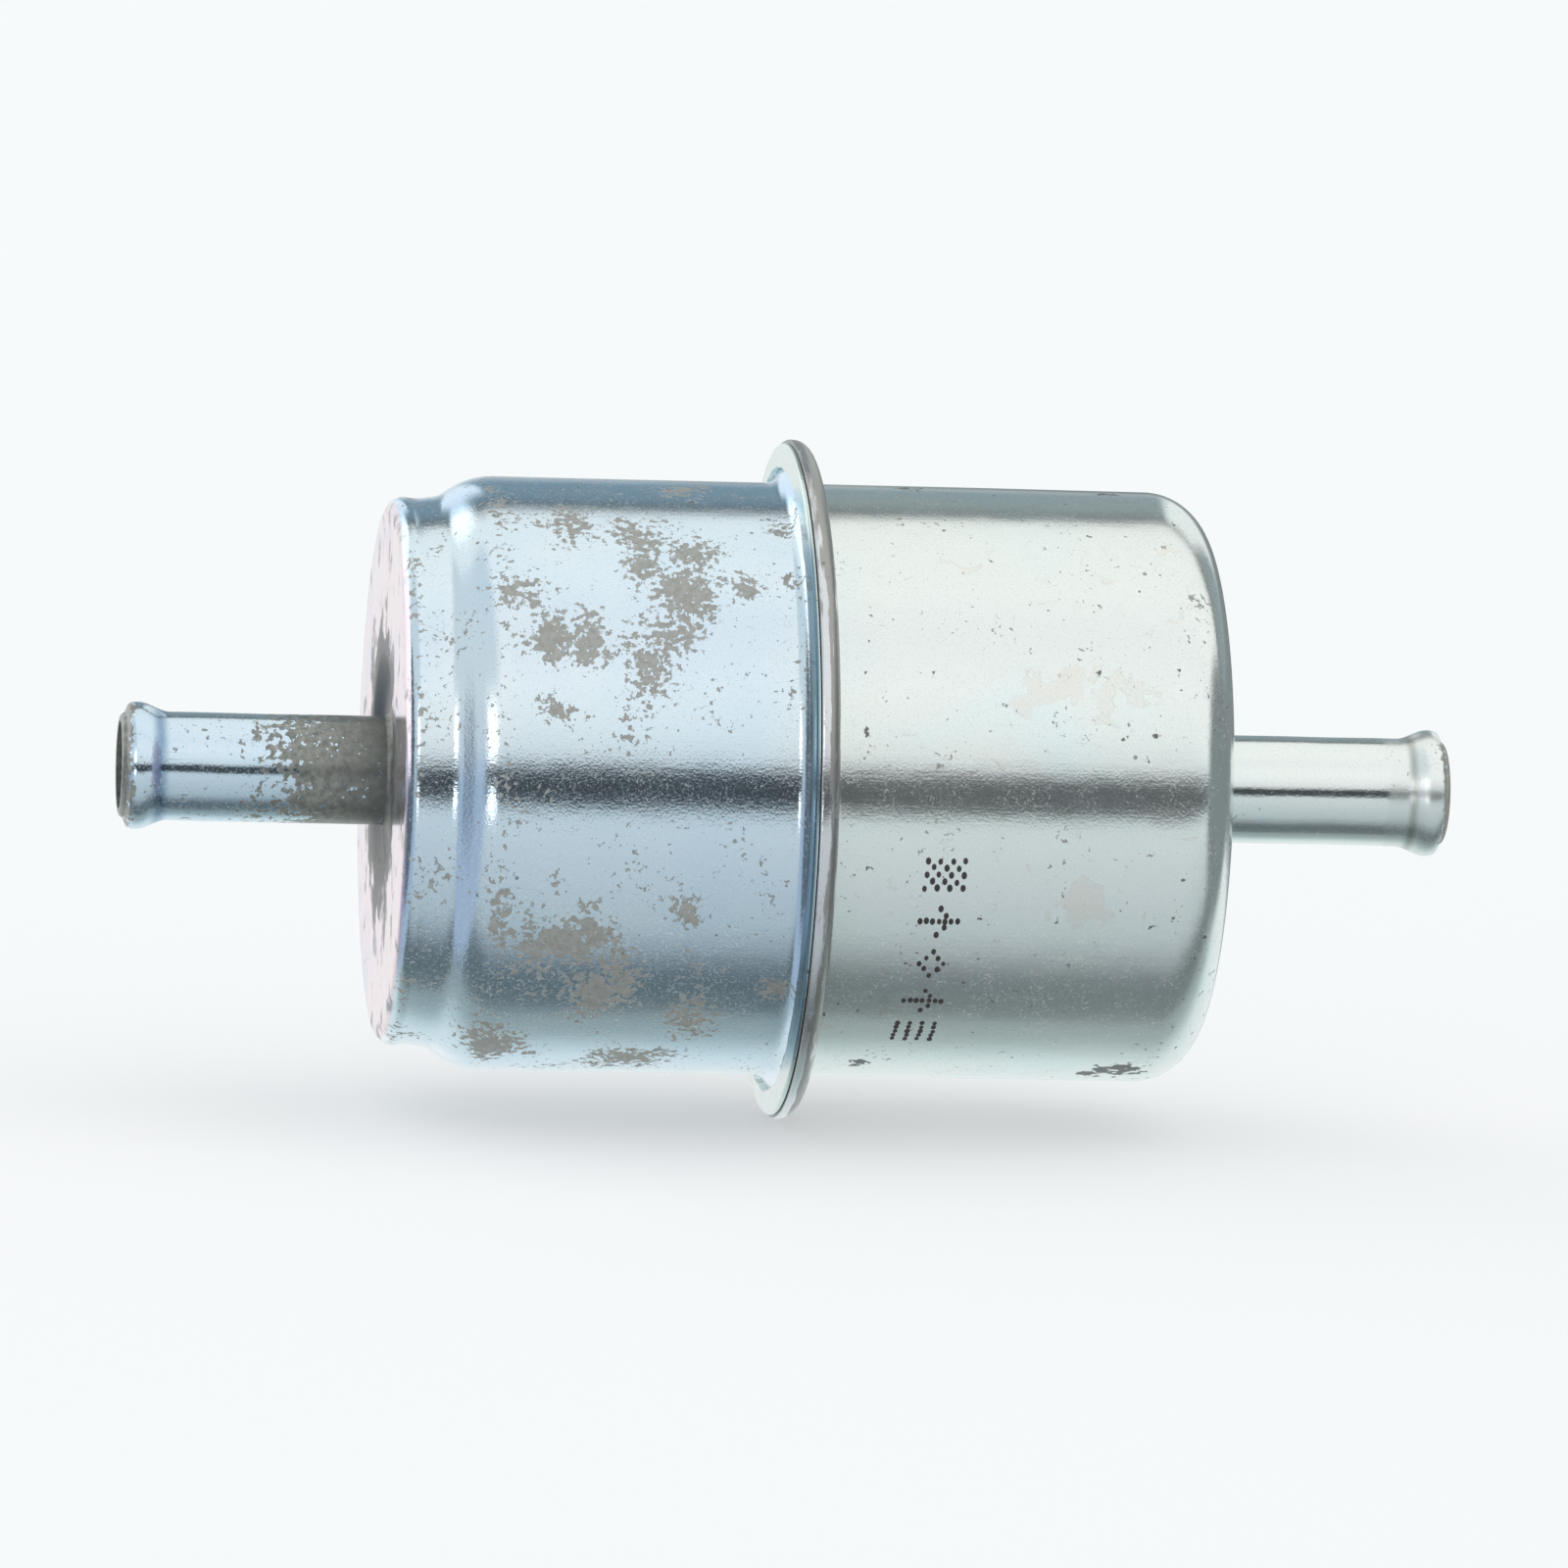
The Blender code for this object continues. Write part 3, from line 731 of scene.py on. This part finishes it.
def grimy(n, at, where, spots, colour, roughness):
    """Dark, dull patches of grime."""
    soot = n.math("MULTIPLY_ADD", near(n, where, spots), 0.30, n.noise(at, 1.1, 5.0, 0.6))
    soot = n.between(soot, 0.66, 0.70)
    colour = n.mix(n.product(soot, 0.85), colour, GRIME)
    return colour, n.math("MULTIPLY_ADD", soot, 0.3, roughness)


def flat_end(n, x, r, end):
    """1 on the flat end and in the sunk ring round the tube."""
    return n.math("MAXIMUM", n.between(x, end + 0.45, end + 0.12), n.between(r, 10.0, 9.5))


def end_look(n, at, on_face, r, colour, roughness):
    """Inlet end: pink and lilac film, grey where it has worn through, and a grey that spreads and darkens
    towards the tube and its sunk ring.
    """
    film = n.ramp(n.noise(at, 0.20, 3.0, 0.5, 0.8), list(zip((0.32, 0.45, 0.57, 0.70), END_FILM)))
    colour = n.mix(on_face, colour, film)
    # The grey spreads further towards the tube and over the sunk ring's edge
    level = n.math("ADD", n.noise(at, 0.38, 6.0, 0.58, 0.2), n.between(r, 15.0, 7.5, 0.0, 0.26))
    level = n.math("ADD", level, n.between(r, 17.5, 19.5, 0.0, 0.05))
    level = n.math("ADD", level, n.between(r, 9.2, 8.2, 0.0, 0.15))
    grey = n.product(n.between(level, 0.56, 0.70), on_face)
    # Darker grey the nearer it is to the tube
    worn = n.mix(n.between(r, 14.0, 9.0), END_WORN, END_DARKER_GREY)
    colour = n.mix(n.product(grey, 0.9), colour, worn)
    smooth = n.math("MULTIPLY_ADD", n.math("SUBTRACT", 0.17, roughness), on_face, roughness)
    return colour, n.math("MULTIPLY_ADD", grey, 0.30, smooth)


def lip_look(n, at, lip, z, colour):
    """Folded lip: painted shade of its crevice over a bluer film, dark teal where it faces the camera or
    away from it, and paler green at the top and bottom.
    """
    # Painted shade: the lip's sides are darkened to teal, and its top and bottom are left paler green
    side = n.between(n.math("ABSOLUTE", z), 21.5, 17.0)
    colour = n.mix(n.product(lip, side), colour, LIP_SHADE_TEAL)
    green = n.mix(n.noise(at, 1.0, 4.0), *LIP_GREENS)
    colour = n.mix(n.product(lip, n.math("SUBTRACT", 0.8, side, clamp=True)), colour, green)
    return colour, side


def rim_look(n, at, x, z, r, seam, colour):
    """Rolled rim: pale, rubbed grey in streaks on top and along its right side."""
    rim = n.product(n.between(x, seam - 1.06, seam - 1.0), n.between(r, 23.6, 24.0))
    colour = n.mix(n.product(rim, 0.8), colour, RIM_PALE)
    level = n.noise(n.scaled(at, (3.0, 0.35, 0.35)), 0.8, 5.0, 0.6)
    level = n.math("ADD", level, n.between(x, seam - 0.60, seam - 0.30, 0.0, 0.22))
    level = n.math("ADD", level, n.product(n.between(z, 12.0, 20.0), 0.16))
    rubbed = n.product(n.between(level, 0.56, 0.70), rim)
    return n.mix(n.product(rubbed, 0.85), colour, RIM_RUBBED), rubbed


def seam_look(n, at, x, z, r, seam, colour, roughness):
    """Folded seam: lip, rolled rim, and painted shade in the groove between them and along the lip's
    edge.
    """
    lip = n.product(n.between(x, seam - 1.08, seam - 1.30), n.between(r, 22.3, 22.7))
    colour, side = lip_look(n, at, lip, z, colour)
    colour, rubbed = rim_look(n, at, x, z, r, seam, colour)
    away = n.math("ABSOLUTE", n.math("SUBTRACT", x, seam - 1.07))
    groove = n.product(n.between(away, 0.07, 0.03), n.between(r, 23.6, 24.0))
    edge = n.product(lip, side, n.between(r, 23.05, 22.9))
    # Painted shade in the groove, and along the lip's edge on its sides only
    crease_shade = n.math("MAXIMUM", groove, edge)
    colour = n.mix(n.product(crease_shade, 0.7), colour, SEAM_SHADE)
    roughness = n.math("MULTIPLY_ADD", n.math("MAXIMUM", rubbed, crease_shade), 0.25, roughness)
    return colour, n.math("MULTIPLY_ADD", lip, 0.10, roughness)


def pitted(n, at, off_face, colour):
    """Small dark pits, in the cells whose random value is high."""
    cells = n.add("ShaderNodeTexVoronoi", {"Vector": at, "Scale": 0.75})
    chance, width, _ = n.parts(cells.outputs["Color"])
    chosen = n.between(chance, 0.92, 0.93)
    size = n.between(width, 0.0, 1.0, 0.05, 0.13)
    inside = n.math("LESS_THAN", cells.outputs["Distance"], size)
    return n.mix(n.product(inside, chosen, off_face, 0.75), colour, PIT)


def scratched(n, at, colour):
    """Fine scratches: thin lines where a stretched noise crosses its middle, in some places only."""
    stretched = n.noise(n.scaled(at, (0.35, 1.0, 1.0)), 0.30, 2.0, 0.4, 1.6)
    some_places = n.between(n.noise(at, 0.16, 2.0), 0.54, 0.62)
    scratch = n.product(band(n, stretched, 0.5, 0.0022), some_places)
    return n.mix(n.product(scratch, 0.5), colour, SCRATCH)


def relief(n, at, worn, off_face, grain):
    """Normal with fine peel, drawing lines along the axis, slow dents, and the worn islands sunk."""
    peel = n.product(n.noise(at, 5.5, 2.0, 0.6), n.math("MULTIPLY_ADD", off_face, 0.6, 0.4))
    lines = n.product(n.noise(n.scaled(at, (0.04, 1.0, 1.0)), 3.2, 3.0, 0.6), off_face)
    dents = n.noise(at, 0.40, 2.0, 0.4)
    fine = n.add("ShaderNodeBump", {"Height": peel, "Distance": 0.014 * MM * grain})
    drawn = n.add("ShaderNodeBump", {"Height": lines, "Distance": 0.004 * MM, "Normal": fine.outputs[0]})
    slow = n.add("ShaderNodeBump", {"Height": dents, "Distance": 0.020 * MM, "Normal": drawn.outputs[0]})
    edge = n.add("ShaderNodeBump", {"Height": worn, "Distance": 0.010 * MM, "Normal": slow.outputs[0]})
    edge.invert = True
    return edge.outputs[0]


def plated(name, tints, rough, seed, grain, marks):
    """Zinc plate over drawn steel. seed moves the noise, grain scales the peel, and marks says what
    is where on this piece."""
    made, n, where = new_material(name)
    x, y, z = n.parts(where)
    r = n.math("SQRT", n.math("MULTIPLY_ADD", y, y, n.product(z, z)))
    move = (seed, seed * 0.7, seed * 1.3)
    at = n.add("ShaderNodeVectorMath", {0: where, 1: move}, operation="ADD").outputs[0]

    colour = film_colour(n, at, x, z, r, tints, marks)
    dust = dust_grains(n, at, marks.get("dust", 1.0))
    colour = n.mix(n.product(dust, 0.45), colour, DUST)
    metallic = n.math("MULTIPLY_ADD", dust, -0.34, 1.0 - marks.get("film", FILM))
    roughness = film_roughness(n, at, x, rough, marks)

    worn = worn_islands(n, at, where, x, marks)
    colour = n.mix(n.product(worn, 0.94), colour, worn_colour(n, at, x, marks))
    roughness = n.math("MULTIPLY_ADD", worn, marks.get("worn_rough", WORN_ROUGH), roughness)
    metallic = n.math("MULTIPLY_ADD", worn, -0.45, metallic)
    if "stain" in marks:
        colour = stained(n, at, where, marks["stain"], colour)
    if "grime" in marks:
        colour, roughness = grimy(n, at, where, marks["grime"], colour, roughness)

    off_face = 1.0
    if "end" in marks:
        on_face = flat_end(n, x, r, marks["end"])
        colour, roughness = end_look(n, at, on_face, r, colour, roughness)
        metallic = n.math("MAXIMUM", metallic, n.product(on_face, 0.9))
        off_face = n.math("SUBTRACT", 1.0, on_face)
    if "seam" in marks:
        colour, roughness = seam_look(n, at, x, z, r, marks["seam"], colour, roughness)
    colour = pitted(n, at, off_face, colour)
    colour = scratched(n, at, colour)
    normal = relief(n, at, worn, off_face, grain)
    principled(n, colour=colour, metallic=metallic, roughness=roughness, normal=normal)
    return made


def flat_look(name, dark, light, rough, metallic=0.0, scale=1.2, bump=0.02):
    """A plain grained finish for the braze, the ink and the hidden pieces. bump is in mm."""
    made, n, where = new_material(name)
    grain = n.noise(where, scale, 6.0, 0.6)
    colour = n.ramp(grain, [(0.3, dark), (0.7, light)])
    roughness = n.between(grain, 0.3, 0.7, rough * 0.85, rough * 1.1)
    fine = n.noise(where, scale * 4, 3.0)
    normal = n.add("ShaderNodeBump", {"Height": fine, "Distance": bump * MM}).outputs[0]
    principled(n, colour=colour, metallic=metallic, roughness=roughness, normal=normal)
    return made


# ---------------------------------------------------------------- the object

def dress(piece, look):
    """Give a piece one material in place of what it has."""
    piece.data.materials.clear()
    piece.data.materials.append(look)


def build_object():
    """The finer pieces, each with its look, body, CAD node and slot."""
    blue = plated("inlet_zinc", BLUE_TINTS, 0.065, 3.0, 0.8, INLET_MARKS)
    pale = plated("outlet_zinc", PALE_TINTS, 0.115, 40.0, 0.55, OUTLET_MARKS)
    blue_tube = plated("inlet_tube_zinc", TUBE_TINTS, 0.06, 11.0, 0.5, INLET_TUBE_MARKS)
    pale_tube = plated("outlet_tube_zinc", PALE_TINTS, 0.09, 23.0, 0.5, OUTLET_TUBE_MARKS)
    braze = flat_look("braze_metal", (0.20, 0.19, 0.17), (0.42, 0.41, 0.38), 0.5, 0.8)
    pieces = (
        (inlet_can(), blue, "inlet_shell", "blue_zinc"),
        (outlet_can(), pale, "outlet_shell", "pale_zinc"),
        (nipple("inlet_nipple", INLET_TIP, INLET_STUB_END), blue_tube, "inlet_tube", "blue_zinc"),
        (nipple("outlet_nipple", OUTLET_TIP, OUTLET_STUB_END), pale_tube, "outlet_tube", "pale_zinc"),
        (braze_fillet("inlet_fillet", INLET_FACE + RECESS_DEPTH, -1), braze, "inlet_braze", "braze"),
        (braze_fillet("outlet_fillet", OUTLET_FACE, 1), braze, "outlet_braze", "braze"),
    )
    for piece, look, node, slot in pieces:
        dress(piece, look)
        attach(piece, "housing")
        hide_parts(node)
    coil, start, end = spring()
    dress(coil, flat_look("spring_wire", (0.28, 0.28, 0.29), (0.42, 0.42, 0.43), 0.33, 1.0, 3.0))
    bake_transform(coil)
    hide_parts("preload_spring")
    ink = ink_marks()
    dress(ink, flat_look("ink", (0.030, 0.024, 0.022), (0.060, 0.048, 0.045), 0.55))
    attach(ink, "housing")


def dress_inside():
    """Hidden pieces keep their CAD shapes."""
    paper = flat_look("pleated_paper", (0.50, 0.33, 0.12), (0.70, 0.52, 0.26), 0.9, 0.0, 2.0, 0.05)
    looks = {
        "filter_media": paper,
        "core_tube": flat_look("core_tinplate", (0.50, 0.50, 0.49), (0.66, 0.66, 0.64), 0.36, 1.0),
        "outlet_gasket": flat_look("gasket_rubber", (0.015, 0.015, 0.016), (0.035, 0.035, 0.035), 0.7),
        "inlet_potting": flat_look("cured_potting", (0.42, 0.10, 0.04), (0.60, 0.20, 0.08), 0.55),
        "seam_seal": flat_look("seam_compound", (0.03, 0.03, 0.035), (0.07, 0.07, 0.08), 0.8),
        "preload_spring": bpy.data.materials["spring_wire"],
    }
    looks["media_clip"] = looks["inlet_cap"] = looks["outlet_cap"] = looks["core_tube"]
    looks["outlet_potting"] = looks["inlet_potting"]
    for name, look in looks.items():
        dress(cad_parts[name], look)


# ---------------------------------------------------------------- light, floor and camera

# The studio round the filter's axis: (degrees up from the camera's line of sight, light)
STUDIO = (
    # at the back, below the filter
    (-174, (0.86, 0.91, 0.91)), (-150, (0.80, 0.87, 0.89)), (-139, (0.72, 0.82, 0.84)),
    # a dark flag under it
    (-130, (0.56, 0.66, 0.67)), (-119, (0.35, 0.43, 0.44)), (-108, (0.29, 0.35, 0.36)),
    (-101, (0.15, 0.185, 0.195)), (-88, (0.115, 0.15, 0.165)), (-80, (0.16, 0.19, 0.21)),
    # pale table in front
    (-70, (0.34, 0.39, 0.42)), (-60, (0.47, 0.54, 0.57)), (-40, (0.57, 0.63, 0.67)),
    (-22, (0.65, 0.71, 0.74)), (-15, (0.64, 0.71, 0.74)),
    # the dark gap at the lens
    (-10.5, (0.05, 0.058, 0.066)), (1.0, (0.05, 0.058, 0.066)),
    # soft boxes in front and overhead
    (6, (0.74, 0.78, 0.80)), (18, (0.89, 0.93, 0.94)), (35, (0.97, 0.99, 1.0)),
    (60, (0.93, 0.95, 0.97)), (80, (0.98, 1.0, 1.0)), (110, (0.95, 0.98, 0.97)),
    (122, (0.88, 0.91, 0.90)),
    # a dark edge behind them, then the backdrop
    (127, (0.16, 0.18, 0.19)), (131, (0.17, 0.20, 0.21)), (137, (0.24, 0.29, 0.30)),
    (157, (0.23, 0.31, 0.35)), (165, (0.50, 0.55, 0.58)), (172, (0.86, 0.91, 0.91)),
)

# Patches of light and dark laid over the studio, at its two sides
LEFT_WALL_LOW = (0.40, 0.49, 0.62, 1.0)
LEFT_WALL_HIGH = (0.62, 0.70, 0.78, 1.0)
LEFT_OVERHEAD = (0.68, 0.76, 0.81, 1.0)
LEFT_BOX = (2.0, 2.05, 2.1, 1.0)
LEFT_TOP = (1.3, 1.35, 1.4, 1.0)
LEFT_END = (0.11, 0.14, 0.17, 1.0)
LEFT_BACK = (0.96, 0.97, 0.98, 1.0)
RIGHT_TOP = (0.84, 0.90, 0.90, 1.0)
RIGHT_BACK = (0.19, 0.225, 0.23, 1.0)
RIGHT_END = (0.17, 0.20, 0.21, 1.0)

BACKDROP = (0.84, 0.85, 0.86, 1.0)
FLOOR_COLOUR = (0.60, 0.60, 0.60, 1.0)
FLOOR_GLOW = 0.42
FLOOR_SIZE = 12.0
FLOOR_GAP = 0.1 * MM             # between the seam and the floor


def left_side(n, x, y, turn, light):
    """A wall at the left, dark at its far end, and a bright box with the gap at the lens left dark."""
    wall = n.mix(n.between(turn, -10.0, 20.0), LEFT_WALL_LOW, LEFT_WALL_HIGH)
    zone = n.product(n.between(x, -0.58, -0.70), n.between(turn, 110.0, 90.0))
    light = n.mix(zone, light, wall)
    zone = n.product(n.between(turn, 26.0, 44.0), n.between(turn, 112.0, 100.0))
    light = n.mix(n.product(zone, n.between(x, -0.24, -0.40)), light, LEFT_OVERHEAD)
    width = n.product(n.between(x, -0.34, -0.42), n.between(x, -0.62, -0.54))
    height = n.product(n.between(turn, -20.0, -14.0), n.between(turn, 34.0, 16.0))
    lens_gap = n.product(n.between(turn, -8.0, -6.0), n.between(turn, 8.0, 6.0))
    zone = n.product(n.product(width, height), n.math("SUBTRACT", 1.0, lens_gap))
    light = n.mix(zone, light, LEFT_BOX)
    zone = n.product(n.between(x, -0.20, -0.35), n.between(turn, 117.0, 127.0))
    light = n.mix(zone, light, LEFT_TOP)
    zone = n.product(n.between(x, -0.82, -0.92), n.between(turn, 117.0, 105.0))
    light = n.mix(zone, light, LEFT_END)
    zone = n.product(n.between(x, -0.03, -0.06), n.between(y, 0.80, 0.90))
    return n.mix(zone, light, LEFT_BACK)


def right_side(n, x, y, z, turn, light):
    """A box over the outlet end, and the dark places that its corner and tube mirror."""
    zone = n.product(n.between(x, 0.17, 0.27), n.between(turn, 124.0, 134.0))
    light = n.mix(n.product(zone, n.between(x, 0.60, 0.50)), light, RIGHT_TOP)
    zone = n.product(n.between(x, 0.06, 0.16), n.between(y, 0.0, 0.2))
    level = n.between(n.math("ABSOLUTE", z), 0.20, 0.12)
    light = n.mix(n.product(zone, level), light, RIGHT_BACK)
    return n.mix(n.between(x, 0.84, 0.93), light, RIGHT_END)


def build_world():
    """Soft boxes above and behind, a gap at the lens, a flag under the filter, patches at the sides."""
    world = bpy.data.worlds.new("studio")
    bpy.context.scene.world = world
    world.use_nodes = True
    n = Nodes(world.node_tree)
    direction = n.add("ShaderNodeTexCoord").outputs["Generated"]
    x, y, z = n.parts(direction)
    turn = n.math("DEGREES", n.math("ARCTAN2", z, n.product(y, -1.0)))
    turn = n.math("SUBTRACT", turn, CAMERA_ELEVATION)
    turn = n.math("WRAP", turn, 180.0, -180.0)
    position = n.math("MULTIPLY_ADD", turn, 1 / 360, 0.5)
    light = n.ramp(position, [(angle / 360 + 0.5, colour) for angle, colour in STUDIO])
    light = left_side(n, x, y, turn, light)
    light = right_side(n, x, y, z, turn, light)
    seen = n.add("ShaderNodeLightPath").outputs["Is Camera Ray"]
    light = n.mix(seen, light, BACKDROP)
    background = n.add("ShaderNodeBackground", {"Color": light})
    out = n.add("ShaderNodeOutputWorld")
    n.tree.links.new(background.outputs[0], out.inputs["Surface"])


def build_floor():
    """Pale sheet under the filter. The metal mirrors the soft boxes and not the sheet."""
    bm = bmesh.new()
    bmesh.ops.create_grid(bm, x_segments=1, y_segments=1, size=FLOOR_SIZE)
    floor = new_object("floor", bm)
    floor.location.z = -SEAM_RADIUS - FLOOR_GAP
    look, n, _ = new_material("floor_paper")
    shader = principled(n, colour=FLOOR_COLOUR, roughness=0.9)
    shader.inputs["Emission Color"].default_value = (1.0, 1.0, 1.0, 1.0)
    shader.inputs["Emission Strength"].default_value = FLOOR_GLOW
    floor.data.materials.append(look)
    floor.visible_glossy = False


def build_camera():
    """Placed so that the axis makes the wanted angles with the picture."""
    elevation = math.radians(CAMERA_ELEVATION)
    azimuth = -math.asin(math.sin(math.radians(AXIS_YAW)) / math.cos(elevation))
    level = math.cos(elevation)
    back = Vector((math.sin(azimuth) * level, -math.cos(azimuth) * level, math.sin(elevation)))
    rotation = (-back).to_track_quat("-Z", "Y").to_matrix()
    right = rotation.col[0].copy()
    up = rotation.col[1].copy()
    roll = math.atan2(up.x, right.x) + math.radians(AXIS_DROP)
    rolled_right = right * math.cos(roll) + up * math.sin(roll)
    rolled_up = up * math.cos(roll) - right * math.sin(roll)
    rotation.col[0] = rolled_right
    rotation.col[1] = rolled_up
    camera = bpy.data.objects.new("camera", bpy.data.cameras.new("camera"))
    bpy.context.scene.collection.objects.link(camera)
    camera.data.lens = LENS
    camera.data.sensor_width = SENSOR
    camera.data.clip_start = 0.05
    camera.data.clip_end = 40.0
    aim = Vector((SEAM, 0.0, 0.0)) + rolled_right * AIM_RIGHT + rolled_up * AIM_UP
    camera.rotation_mode = "QUATERNION"
    camera.rotation_quaternion = rotation.to_quaternion()
    camera.location = aim + back * DISTANCE
    bpy.context.scene.camera = camera


build_object()
dress_inside()
build_world()
build_floor()
build_camera()
bpy.context.scene.view_settings.view_transform = "Standard"
